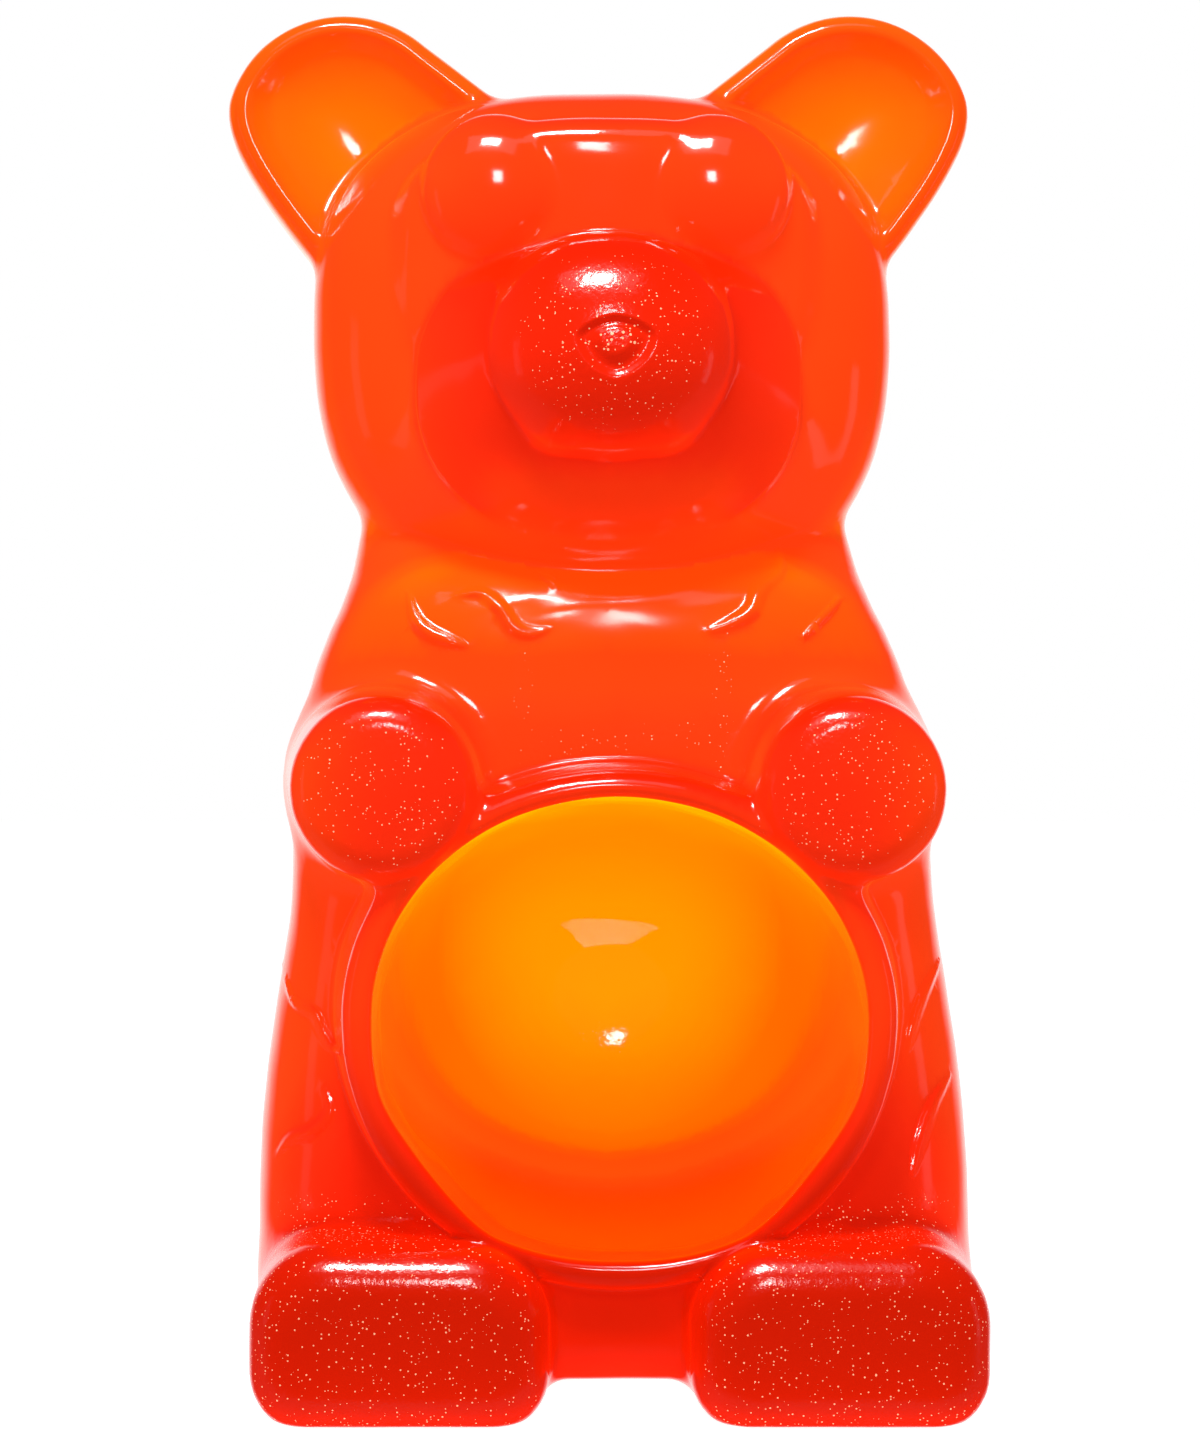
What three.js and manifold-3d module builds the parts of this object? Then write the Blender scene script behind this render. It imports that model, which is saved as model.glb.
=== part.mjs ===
// A giant gummy bear, sitting upright, with a drinking bowl sunk into its round belly.
//
// Millimetres, +Z up, the bear faces -Y and +X is to the right of someone who looks at its face.
// It is one moulding of gelatine jelly, so it is one solid. Its skin is the zero level of a
// field that measures roughly how far a point lies outside the jelly: each part of the body
// has a field of its own, and soft minimums run them together with fillets.
import * as THREE from 'three';
import { mergeVertices } from 'three/addons/utils/BufferGeometryUtils.js';
import Module from 'manifold-3d';

// Driving dimensions
const HEIGHT = 432;                  // soles to the tops of the ears, 17 in
const U = HEIGHT / 432;              // every size below is stated for that height
const CELL = 9.1 * U;                // spacing of the grid that the skin is drawn on
// The head stands to one side of the body, turned and tipped a little: millimetres to the
// side, then radians, growing between two heights
const LEAN = { reach: 3.5 * U, turn: 0.02, tip: 0.016, from: 120, to: 330 };

const TORSO = {
  power: 3.1,                        // squareness of its level sections
  bottom: 9.5 * U,
  bottomRound: 16 * U,
  top: 300 * U,
  topRound: 40 * U,
  // height, half width, front and back of the section there
  stations: [
    [0, 106, -60, 78], [32, 111, -62, 87], [65, 112, -56, 91], [97, 110.2, -46, 91],
    [128, 105.8, -41, 88], [152, 102.2, -41, 83], [190, 100, -43, 76], [222, 93.5, -40.5, 68],
    [236, 88, -37, 65], [248, 82.5, -30, 62], [268, 78, -20, 60], [300, 75, -20, 60],
  ].map((row) => row.map((v) => v * U)),
};

const HEAD = {
  centre: [0, 12, 332], low: [91.4, 53, 87], high: [91.4, 62, 75], power: 2.55, blend: 4,
};
const BROW = {
  middle: 352, halfWidth: 65, above: 39.5, below: 52, power: 2.8,
  front: -51, ridge: 378, slope: 0.45, fall: 0.03, turn: 4, bulge: 280, back: 0, edge: 7, blend: 4,
};
const JAW = {
  centre: [0, -18, 300], low: [58, 44, 45], high: [58, 41, 52], power: 2.3, taper: 0.3, blend: 14,
};
// The root of the muzzle: middle, half width, height above and below, at the front and back
const BELL = {
  front: -64, back: -43, ends: [[320, 36, 34, 31], [309.5, 58.5, 47, 28]],
  power: 2.3, flare: 0.66, cap: 7, tail: 5, blend: 5,
};
const SNOUT = {
  centre: [0, -54, 320.5], low: [34.5, 31, 33], high: [34.5, 31, 34], power: 2.1, blend: 3,
};
const EYE = {
  centre: [33.2, -39, 370], low: [23, 15, 23], high: [23, 15, 23], power: 2, blend: 2,
};
const EAR = {
  tip: [80, 14, 393], root: [42, 13, 360], tipRadius: 39, rootRadius: 42,
  halfDepth: 21, power: 3.6, blend: 4,
  rim: 6, slope: 18, dish: 6, hollow: 6, dishBlend: 6,
  cutTurn: 32.4, cutReach: 110.4, cutBlend: 10,
};
const ARM = {
  root: [70, 0, 190], paw: [69.4, -79, 188], rootRadius: 33, pawRadius: 26.6,
  edge: 9, dome: 2, blend: 9,
};
const LEG = {
  side: 64.6, halfWidth: 43.6, front: -84, back: 72, top: 54, rise: 7, under: 2,
  topCorner: 25, lowCorner: 18, edge: 15, blend: 7, soleRound: 3,
};
const BELLY = {
  middle: 119.8, halfWidth: 73.5, upper: 66, lower: 71.4,
  crest: -72, lip: 8, draft: 0.12, edge: 3.6,
  inset: 1.2, sunk: 5, depth: 66, blend: 10,
};
const BOWL = {
  depth: 143, power: 2.4, lipRound: 3.6, above: 12,
  lowPower: 2.25, flatReach: 72.4, flatTurn: 38.2, flatBlend: 5,
};
const NOSE = { middle: 320.4, halfWidth: 10.8, up: 5.6, down: 10.2, depth: 3.2 };

// Fields

const clamp = THREE.MathUtils.clamp;
const scaled = (list) => list.map((v) => v * U);

// The smaller of two distances, with the corner between them rounded over a width k.
function softMin(a, b, k) {
  const h = Math.max(k - Math.abs(a - b), 0) / k;
  return Math.min(a, b) - (h * h * k) / 4;
}
const softMax = (a, b, k) => -softMin(-a, -b, k);

// A level section as |x/w|^n + |y/d|^n = 1, turned into a distance by dividing by its slope.
function superEllipse(ratios, radii, power) {
  const sum = ratios.reduce((s, r) => s + Math.abs(r) ** power, 0);
  if (sum < 1e-9) return -Math.min(...radii);
  const level = sum ** (1 / power);
  const slope = Math.hypot(
    ...ratios.map((r, i) => (Math.abs(r) / level) ** (power - 1) / radii[i]),
  );
  return (level - 1) / slope;
}

// An egg whose half axes differ below and above its centre.
function egg(p, { centre, low, high, power }) {
  const offsets = p.map((v, i) => v - centre[i] * U);
  const radii = offsets.map((v, i) => (v < 0 ? low[i] : high[i]) * U);
  return superEllipse(offsets.map((v, i) => v / radii[i]), radii, power);
}

// Cubic through the stations' values, column by column, at height z.
function stationAt(stations, z) {
  const last = stations.length - 1;
  const height = clamp(z, stations[0][0], stations[last][0]);
  let i = 0;
  while (i < last - 1 && stations[i + 1][0] < height) i += 1;
  const [before, from, to, after] = [Math.max(i - 1, 0), i, i + 1, Math.min(i + 2, last)].map(
    (n) => stations[n],
  );
  const span = to[0] - from[0];
  const t = (height - from[0]) / span;
  return from.slice(1).map((start, n) => {
    const end = to[n + 1];
    const slopeIn = ((end - before[n + 1]) / (to[0] - before[0])) * span;
    const slopeOut = ((after[n + 1] - start) / (after[0] - from[0])) * span;
    return (2 * t ** 3 - 3 * t ** 2 + 1) * start + (t ** 3 - 2 * t ** 2 + t) * slopeIn
      + (3 * t ** 2 - 2 * t ** 3) * end + (t ** 3 - t ** 2) * slopeOut;
  });
}

function torso([x, y, z]) {
  const [halfWidth, front, back] = stationAt(TORSO.stations, z);
  const halfDepth = (back - front) / 2;
  const wall = superEllipse(
    [x / halfWidth, (y - (front + back) / 2) / halfDepth], [halfWidth, halfDepth], TORSO.power,
  );
  const floored = softMax(wall, TORSO.bottom - z, TORSO.bottomRound);
  return softMax(floored, z - TORSO.top, TORSO.topRound);
}

// A lobe round the line from the ear's tip to its root, with a straight lower edge. Its front
// is cut to a hollow: level at the rim, then a slope, then a gentle curve to the middle.
function ear([x, y, z]) {
  const tip = scaled(EAR.tip);
  const root = scaled(EAR.root);
  const along = [root[0] - tip[0], root[2] - tip[2]];
  const t = clamp(
    ((x - tip[0]) * along[0] + (z - tip[2]) * along[1]) / (along[0] ** 2 + along[1] ** 2), 0, 1,
  );
  const round = Math.hypot(x - tip[0] - along[0] * t, z - tip[2] - along[1] * t);
  const radius = THREE.MathUtils.lerp(EAR.tipRadius, EAR.rootRadius, t) * U;
  const turn = THREE.MathUtils.degToRad(EAR.cutTurn);
  const below = x * Math.cos(turn) - z * Math.sin(turn) + EAR.cutReach * U;
  const reach = Math.max(radius + softMax(round - radius, below, EAR.cutBlend * U), 0);
  const halfDepth = EAR.halfDepth * U;
  const lobe = superEllipse(
    [reach / radius, (y - tip[1]) / halfDepth], [radius, halfDepth], EAR.power,
  );
  const inward = clamp((radius - EAR.rim * U - reach) / (EAR.slope * U), 0, 1);
  const slope = EAR.dish * inward ** 2 * (3 - 2 * inward);
  const hollow = EAR.hollow * clamp(1 - (reach / radius) ** 2, 0, 1);
  const front = tip[1] - halfDepth + (slope + hollow) * U;
  return softMax(lobe, (front - y) / 1.3, EAR.dishBlend * U);
}

// A forearm that points forward and tapers to a blunt paw with a rounded edge.
function arm([x, y, z]) {
  const root = new THREE.Vector3(...scaled(ARM.root));
  const axis = new THREE.Vector3(...scaled(ARM.paw)).sub(root);
  const length = axis.length();
  axis.normalize();
  const offset = new THREE.Vector3(x, y, z).sub(root);
  const along = offset.dot(axis);
  const across = offset.addScaledVector(axis, -along).length();
  const radius = THREE.MathUtils.lerp(ARM.rootRadius, ARM.pawRadius, clamp(along / length, 0, 1)) * U;
  const end = length + ARM.dome * U * (1 - (across / radius) ** 2);
  return roundedCorner(across - radius, Math.max(along - end, -along), ARM.edge * U);
}

// Two walls that meet at an outer corner of radius r.
function roundedCorner(a, b, r) {
  return Math.hypot(Math.max(a + r, 0), Math.max(b + r, 0)) - r + Math.min(Math.max(a, b) + r, 0);
}

// A thick leg: a rounded rectangle across, carried from the foot's flat face back into the
// body, whose top rises on the way, over a flat sole.
function leg([x, y, z]) {
  const share = clamp((y / U - LEG.front) / (LEG.back - LEG.front), 0, 1);
  const top = (LEG.top + LEG.rise * share) * U;
  const halfHeight = (top + LEG.under * U) / 2;
  const right = Math.abs(x - LEG.side * U) - LEG.halfWidth * U;
  const up = Math.abs(z - (top - halfHeight)) - halfHeight;
  const corner = z > top - halfHeight ? LEG.topCorner : LEG.lowCorner;
  const across = roundedCorner(right, up, corner * U);
  const ends = Math.max(LEG.front * U - y, y - LEG.back * U);
  return softMax(roundedCorner(across, ends, LEG.edge * U), -z, LEG.soleRound * U);
}

// The root of the belly's barrel, which a wide fillet runs into the body. Seen from the front
// the barrel is an ellipse, a little less tall above its middle than below.
function bellyRoot([x, y, z]) {
  const up = z - BELLY.middle * U;
  const tall = up < 0 ? BELLY.lower : BELLY.upper;
  const reach = Math.hypot(x, (up * BELLY.halfWidth) / tall);
  const behind = y - BELLY.crest * U;
  const wall = reach - (BELLY.halfWidth + BELLY.lip - BELLY.inset) * U - BELLY.draft * behind;
  return Math.max(wall, BELLY.sunk * U - behind, behind - BELLY.depth * U);
}

// An egg that narrows towards its top.
function jaw([x, y, z]) {
  const rise = clamp((z / U - JAW.centre[2]) / JAW.high[2], 0, 1);
  return egg([x / (1 - JAW.taper * rise), y, z], JAW);
}

// The brow: a block with a crisp edge, seen from the front as half ellipses. Its face leans
// back above and below a ridge, and across as the square of x.
function brow([x, y, z]) {
  const up = z - BROW.middle * U;
  const tall = (up < 0 ? BROW.below : BROW.above) * U;
  const wide = BROW.halfWidth * U;
  const side = superEllipse([x / wide, up / tall], [wide, tall], BROW.power);
  const turn = BROW.turn * U;
  const above = z - BROW.ridge * U;
  const lean = (above > 0 ? BROW.slope : BROW.fall) * (Math.hypot(above, turn) - turn);
  const face = BROW.front * U + lean + x ** 2 / (BROW.bulge * U);
  return Math.max(roundedCorner(side, face - y, BROW.edge * U), y - BROW.back * U);
}

// The root of the muzzle: a cone whose section widens backwards into the cheeks.
function bell([x, y, z]) {
  const t = clamp((y / U - BELL.front) / (BELL.back - BELL.front), 0, 1.3);
  const [middle, wide, above, under] = BELL.ends[0].map((v, n) => (v + (BELL.ends[1][n] - v) * t) * U);
  const up = z - middle;
  const tall = up < 0 ? under : above;
  const wall = BELL.flare * superEllipse([x / wide, up / tall], [wide, tall], BELL.power);
  const capped = softMax(wall, BELL.front * U - y, BELL.cap * U);
  return softMax(capped, y - BELL.tail * U, BELL.cap * U);
}

function head(side) {
  let d = softMin(egg(side, HEAD), jaw(side), JAW.blend * U);
  d = softMin(d, ear(side), EAR.blend * U);
  d = softMin(d, softMin(brow(side), egg(side, EYE), EYE.blend * U), BROW.blend * U);
  return softMin(d, softMin(bell(side), egg(side, SNOUT), BELL.blend * U), SNOUT.blend * U);
}

// The smooth body, with no bowl, lip or nose yet.
function body([x, y, z]) {
  const side = [Math.abs(x), y, z];
  let d = softMin(torso(side), head(side), HEAD.blend * U);
  d = softMin(d, leg(side), LEG.blend * U);
  d = softMin(d, bellyRoot(side), BELLY.blend * U);
  return softMin(d, arm(side), ARM.blend * U);
}

// The slope of a field at a point, by central differences.
function slopeOf(field, point) {
  const step = 0.05 * U;
  return point.map((v, i) => {
    const ahead = [...point];
    const behind = [...point];
    ahead[i] += step;
    behind[i] -= step;
    return (field(ahead) - field(behind)) / (2 * step);
  });
}

// Moves a point onto the zero level by Newton steps, no further than half a cell in all.
function settle(field, start) {
  let point = [...start];
  for (let n = 0; n < 4; n += 1) {
    const value = field(point);
    const slope = slopeOf(field, point);
    const steep = slope.reduce((s, v) => s + v * v, 0) + 1e-9;
    point = point.map((v, i) => v - (value * slope[i]) / steep);
  }
  const moved = Math.hypot(...point.map((v, i) => v - start[i]));
  const share = Math.min(1, CELL / 2 / (moved + 1e-9));
  return point.map((v, i) => start[i] + (v - start[i]) * share);
}

// The skin of a field as surface nets: one vertex in each cell that the zero level crosses,
// at the mean of the crossings on the cell's edges, and one quad across each crossed edge.
function skin(field, low, high) {
  const counts = low.map((v, i) => Math.ceil((high[i] - v) / CELL) + 1);
  const [nx, ny] = counts;
  const index = (i, j, k) => i + nx * (j + ny * k);
  const at = (i, j, k) => [low[0] + i * CELL, low[1] + j * CELL, low[2] + k * CELL];
  const values = new Float64Array(counts[0] * counts[1] * counts[2]);
  for (let k = 0; k < counts[2]; k += 1)
    for (let j = 0; j < ny; j += 1)
      for (let i = 0; i < nx; i += 1) values[index(i, j, k)] = field(at(i, j, k));

  const corners = [0, 1, 2, 3, 4, 5, 6, 7].map((n) => [n & 1, (n >> 1) & 1, (n >> 2) & 1]);
  const edges = [];
  corners.forEach((a, m) => corners.forEach((b, n) => {
    if (m < n && a.filter((v, c) => v !== b[c]).length === 1) edges.push([a, b]);
  }));

  const positions = [];
  const vertexOf = new Int32Array(values.length).fill(-1);
  for (let k = 0; k < counts[2] - 1; k += 1)
    for (let j = 0; j < ny - 1; j += 1)
      for (let i = 0; i < nx - 1; i += 1) {
        const crossings = edges.map(([a, b]) => {
          const va = values[index(i + a[0], j + a[1], k + a[2])];
          const vb = values[index(i + b[0], j + b[1], k + b[2])];
          if (va < 0 === vb < 0) return null;
          const t = va / (va - vb);
          return a.map((v, c) => v + (b[c] - v) * t);
        }).filter(Boolean);
        if (!crossings.length) continue;
        const mean = [0, 1, 2].map((c) => crossings.reduce((s, v) => s + v[c], 0) / crossings.length);
        const corner = at(i, j, k);
        vertexOf[index(i, j, k)] = positions.length / 3;
        positions.push(...settle(field, mean.map((v, c) => corner[c] + v * CELL)));
      }

  const vertex = (n) => new THREE.Vector3().fromArray(positions, n * 3);
  const triangles = [];
  for (let k = 1; k < counts[2] - 1; k += 1)
    for (let j = 1; j < ny - 1; j += 1)
      for (let i = 1; i < nx - 1; i += 1)
        for (let axis = 0; axis < 3; axis += 1) {
          const unit = [0, 1, 2].map((c) => (c === axis ? 1 : 0));
          const inside = values[index(i, j, k)] < 0;
          if (inside === values[index(i + unit[0], j + unit[1], k + unit[2])] < 0) continue;
          const [u, v] = [(axis + 1) % 3, (axis + 2) % 3];
          const ring = [[0, 0], [1, 0], [1, 1], [0, 1]].map(([a, b]) => {
            const cell = [i, j, k];
            cell[u] -= a;
            cell[v] -= b;
            return vertexOf[index(...cell)];
          });
          if (!inside) ring.reverse();
          const [a, b, c, d] = ring;
          if (vertex(a).distanceTo(vertex(c)) < vertex(b).distanceTo(vertex(d)))
            triangles.push(a, b, c, a, c, d);
          else triangles.push(a, b, d, b, c, d);
        }

  const geometry = new THREE.BufferGeometry();
  geometry.setAttribute('position', new THREE.Float32BufferAttribute(positions, 3));
  geometry.setIndex(triangles);
  return geometry;
}

// Solids to join and cut

const wasm = await Module();
wasm.setup();

function solidOf(geometry) {
  const bare = geometry.clone();
  bare.deleteAttribute('normal');
  bare.deleteAttribute('uv');
  const merged = mergeVertices(bare, 1e-3);
  return new wasm.Manifold(new wasm.Mesh({
    numProp: 3,
    vertProperties: new Float32Array(merged.attributes.position.array),
    triVerts: new Uint32Array(merged.index.array),
  }));
}

function geometryOf(solid) {
  const mesh = solid.getMesh();
  const geometry = new THREE.BufferGeometry();
  geometry.setAttribute('position', new THREE.BufferAttribute(mesh.vertProperties, 3));
  geometry.setIndex(new THREE.BufferAttribute(mesh.triVerts, 1));
  return geometry;
}

// Turns a lathe's circle round +Z into the belly's outline round -Y. A profile point's height
// becomes the distance in front of the crest, and the circle becomes the belly's two half
// ellipses, which flatten may change.
function layOnBelly(profile, segments, flatten = (x, up) => [x, up]) {
  const geometry = new THREE.LatheGeometry(profile, segments);
  const place = geometry.attributes.position;
  for (let n = 0; n < place.count; n += 1) {
    const turned = -place.getZ(n);
    const tall = turned < 0 ? BELLY.lower : BELLY.upper;
    const [x, up] = flatten(place.getX(n), (turned * tall) / BELLY.halfWidth);
    place.setXYZ(n, x, BELLY.crest * U - place.getY(n), BELLY.middle * U + up);
  }
  return geometry;
}

// The bowl's lower half is a little squarer than an ellipse, with slightly flat lower sides:
// each point moves in or out in proportion to how far out it is on the ellipse.
function flatBelow(x, up) {
  const turn = THREE.MathUtils.degToRad(BOWL.flatTurn);
  const wide = BELLY.halfWidth * U;
  const tall = (up < 0 ? BELLY.lower : BELLY.upper) * U;
  const power = up < 0 ? BOWL.lowPower : 2;
  const reach = Math.hypot(x, up) + 1e-9;
  const ellipse = reach / (Math.hypot(x / wide, up / tall) + 1e-9);
  const square = (Math.abs(x) / wide) ** power + (Math.abs(up) / tall) ** power;
  const outline = reach / (square ** (1 / power) + 1e-9);
  const facing = (Math.abs(x) * Math.cos(turn) - up * Math.sin(turn)) / reach;
  const line = (BOWL.flatReach * U) / Math.max(facing, 0.2);
  const share = softMin(outline, line, BOWL.flatBlend * U) / ellipse;
  return [x * share, up * share];
}

// Points of a quarter circle round a centre, from one angle to another, in degrees.
function arcPoints(x, y, radius, from, to, steps) {
  return Array.from({ length: steps + 1 }, (_, n) => {
    const angle = THREE.MathUtils.degToRad(from + ((to - from) * n) / steps);
    return new THREE.Vector2(x + radius * Math.cos(angle), y + radius * Math.sin(angle));
  });
}

// The belly's barrel: a drafted wall that stands out of the body and ends in a rounded lip.
function barrel() {
  const outer = (BELLY.halfWidth + BELLY.lip) * U;
  const root = BELLY.depth * U;
  const edge = BELLY.edge * U;
  const profile = [
    new THREE.Vector2(0, -root),
    new THREE.Vector2(outer + BELLY.draft * root, -root),
    ...arcPoints(outer - edge, -edge, edge, 0, 90, 5),
    new THREE.Vector2(0, 0),
  ];
  return solidOf(layOnBelly(profile, 48));
}

// What the bowl takes away: half of a long egg that reaches close to the bear's back, flared
// at its mouth so that the lip's inner edge is round too.
function bowl() {
  const mouth = BELLY.halfWidth * U;
  const edge = BOWL.lipRound * U;
  const depth = BOWL.depth * U;
  const wall = Array.from({ length: 15 }, (_, n) => {
    const angle = (n / 14) * (Math.PI / 2) * 0.97;
    const across = mouth * Math.sin(angle) ** (2 / BOWL.power);
    return new THREE.Vector2(across, -depth * Math.cos(angle) ** (2 / BOWL.power));
  });
  const flare = arcPoints(mouth + edge, -edge, edge, 180, 90, 4);
  const profile = [
    ...wall,
    ...flare,
    new THREE.Vector2(mouth + edge, BOWL.above * U),
    new THREE.Vector2(0, BOWL.above * U),
  ];
  return solidOf(layOnBelly(profile, 48, flatBelow));
}

// The nose is a small shield pressed into the tip of the snout.
function noseMark() {
  const { halfWidth, up, down } = NOSE;
  const shape = new THREE.Shape();
  shape.moveTo(0, up * U);
  shape.bezierCurveTo(halfWidth * 0.7 * U, up * U, halfWidth * U, up * 0.7 * U, halfWidth * U, 0);
  shape.bezierCurveTo(halfWidth * 0.95 * U, -down * 0.5 * U, halfWidth * 0.4 * U, -down * U, 0, -down * U);
  shape.bezierCurveTo(-halfWidth * 0.4 * U, -down * U, -halfWidth * 0.95 * U, -down * 0.5 * U, -halfWidth * U, 0);
  shape.bezierCurveTo(-halfWidth * U, up * 0.7 * U, -halfWidth * 0.7 * U, up * U, 0, up * U);
  const front = SNOUT.centre[1] - SNOUT.low[1];
  const reach = 30 * U;
  const geometry = new THREE.ExtrudeGeometry(shape, { depth: reach, bevelEnabled: false, curveSegments: 7 });
  geometry.rotateX(Math.PI / 2);
  geometry.translate(0, (front + NOSE.depth) * U, NOSE.middle * U);
  return solidOf(geometry);
}

// Sits the body to the right of the head, turns the face a little to the right and tips the
// ears a little to the left, as the moulding does.
function leaned(geometry) {
  const place = geometry.attributes.position;
  for (let n = 0; n < place.count; n += 1) {
    const z = place.getZ(n) / U;
    const headward = THREE.MathUtils.smoothstep(z, LEAN.from, LEAN.to);
    const turned = LEAN.turn * place.getY(n) * headward;
    const tipped = LEAN.tip * Math.max(z - LEAN.to, 0) * U;
    place.setX(n, place.getX(n) + LEAN.reach * (1 - headward) - turned - tipped);
  }
  return geometry;
}

// The bear stands centred over the origin on the flat soles of its legs.
function centred(geometry) {
  geometry.computeBoundingBox();
  const { min, max } = geometry.boundingBox;
  return geometry.translate(-(min.x + max.x) / 2, -(min.y + max.y) / 2, -min.z);
}

const low = [-128, -100, -14].map((v) => v * U);
const high = [128, 104, 446].map((v) => v * U);
const moulding = solidOf(skin(body, low, high))
  .add(barrel())
  .subtract(bowl())
  .subtract(noseMark());

const jelly = new THREE.MeshStandardMaterial({
  color: 0xfc3a11, roughness: 0.12, metalness: 0, transparent: true, opacity: 0.9,
});
const bear = new THREE.Mesh(centred(leaned(geometryOf(moulding))), jelly);
bear.name = 'bear';

const group = new THREE.Group();
group.add(bear);

export default group;
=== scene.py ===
import bpy
import numpy as np
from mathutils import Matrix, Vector


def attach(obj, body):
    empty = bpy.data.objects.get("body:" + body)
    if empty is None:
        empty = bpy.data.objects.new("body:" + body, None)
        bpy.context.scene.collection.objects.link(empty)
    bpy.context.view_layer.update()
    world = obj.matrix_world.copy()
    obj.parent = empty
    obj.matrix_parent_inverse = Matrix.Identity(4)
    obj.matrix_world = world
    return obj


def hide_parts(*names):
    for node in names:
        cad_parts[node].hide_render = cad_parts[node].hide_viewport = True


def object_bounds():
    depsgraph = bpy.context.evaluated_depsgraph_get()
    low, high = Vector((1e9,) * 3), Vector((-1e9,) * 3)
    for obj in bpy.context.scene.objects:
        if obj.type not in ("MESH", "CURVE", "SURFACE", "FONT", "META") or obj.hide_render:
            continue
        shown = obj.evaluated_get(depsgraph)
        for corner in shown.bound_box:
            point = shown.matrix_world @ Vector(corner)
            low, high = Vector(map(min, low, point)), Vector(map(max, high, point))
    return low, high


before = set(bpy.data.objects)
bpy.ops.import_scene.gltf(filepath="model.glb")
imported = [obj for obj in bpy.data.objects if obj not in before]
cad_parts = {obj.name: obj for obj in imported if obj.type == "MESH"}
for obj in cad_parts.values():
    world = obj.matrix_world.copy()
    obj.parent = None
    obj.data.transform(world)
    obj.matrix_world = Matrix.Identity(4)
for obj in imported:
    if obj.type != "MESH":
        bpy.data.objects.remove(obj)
cad_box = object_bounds()

# The trunk, two legs and two arms.
# The bear is one casting of gelatine jelly from a two-part mould, so its parts have no joints:
# each is a field of distances in millimetres, and soft minimums run them together with fillets.
TRUNK_POWER = 3.1
TRUNK_BOTTOM, TRUNK_BOTTOM_ROUND = 9.5, 16
TRUNK_TOP, TRUNK_TOP_ROUND = 300, 40
# height, half width, front and back of the trunk there
TRUNK_STATIONS = np.array([
    [0, 106, -60, 78], [32, 111, -62, 87], [65, 112, -56, 91], [97, 110.2, -46, 91],
    [128, 105.8, -41, 88], [152, 102.2, -41, 83], [190, 100, -43, 76], [222, 93.5, -42, 68],
    [236, 88, -41.5, 65], [243, 84.6, -40.2, 63], [249, 82.2, -37, 62], [256, 80, -30, 61],
    [268, 78, -20, 60], [300, 75, -20, 60],
], float)
LEG_SIDE, LEG_HALF_WIDTH = 65.2, 44.4
LEG_FRONT, LEG_BACK = -84, 72
LEG_TOP, LEG_RISE, LEG_UNDER = 54, 7, 2
LEG_TOP_CORNER, LEG_LOW_CORNER, LEG_EDGE, SOLE_EDGE = 25, 18, 15, 3
ARM_ROOT, ARM_PAW = (70, 0, 190), (69.4, -79, 188)
ARM_ROOT_RADIUS, PAW_RADIUS, PAW_EDGE, PAW_DOME = 33, 27, 9, 2
LEG_BLEND, ARM_BLEND = 7, 9


def soft_min(a, b, width):
    """The smaller of a and b, less h squared times a quarter of the width, where h falls
    from one where the two are equal to nothing where they differ by the width."""
    h = np.maximum(width - np.abs(a - b), 0) / width
    return np.minimum(a, b) - h * h * width / 4


def soft_max(a, b, width):
    """The larger of a and b, rounded in the same way."""
    return -soft_min(-a, -b, width)


def round_corner(a, b, radius):
    """Where two walls meet at an outer corner of that radius: the length of the part of
    (a, b) beyond the corner's centre, less the radius."""
    beyond = np.hypot(np.maximum(a + radius, 0), np.maximum(b + radius, 0))
    return beyond - radius + np.minimum(np.maximum(a, b) + radius, 0)


def super_ellipse(ratios, radii, power):
    """How far outside |x/a|^n + |y/b|^n = 1 a point lies: the nth root of the sum less
    one, divided by that root's own slope, which is kept from vanishing near the middle."""
    level = (sum(np.abs(r) ** power for r in ratios) + 1e-12) ** (1 / power)
    slopes = [(np.abs(r) / level) ** (power - 1) / a for r, a in zip(ratios, radii)]
    least = 0.3 / np.maximum(*radii[:2])
    return (level - 1) / np.maximum(np.sqrt(sum(s * s for s in slopes)), least)


def station_at(stations, z):
    """A cubic through each column of the stations at height z, with the slope at a station
    taken from the two beside it."""
    heights, rows = stations[:, 0], stations[:, 1:]
    last = len(heights) - 1
    z = np.clip(z, heights[0], heights[-1])
    i = np.clip(np.searchsorted(heights, z) - 1, 0, last - 1)
    each = np.arange(last + 1)
    before, after = np.maximum(each - 1, 0), np.minimum(each + 1, last)
    slopes = (rows[after] - rows[before]) / (heights[after] - heights[before])[:, None]
    span = (heights[i + 1] - heights[i])[:, None]
    t = (z - heights[i])[:, None] / span
    values = (2 * t**3 - 3 * t**2 + 1) * rows[i] + (3 * t**2 - 2 * t**3) * rows[i + 1]
    values += ((t**3 - 2 * t**2 + t) * slopes[i] + (t**3 - t**2) * slopes[i + 1]) * span
    return values.T


def trunk(x, y, z):
    """Level sections |x/w|^n + |y/d|^n = 1 through the stations, with a rounded floor and top."""
    half_width, front, back = station_at(TRUNK_STATIONS, z)
    half_depth = (back - front) / 2
    across, along = x / half_width, (y - (front + back) / 2) / half_depth
    wall = super_ellipse([across, along], [half_width, half_depth], TRUNK_POWER)
    wall = soft_max(wall, TRUNK_BOTTOM - z, TRUNK_BOTTOM_ROUND)
    return soft_max(wall, z - TRUNK_TOP, TRUNK_TOP_ROUND)


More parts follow.
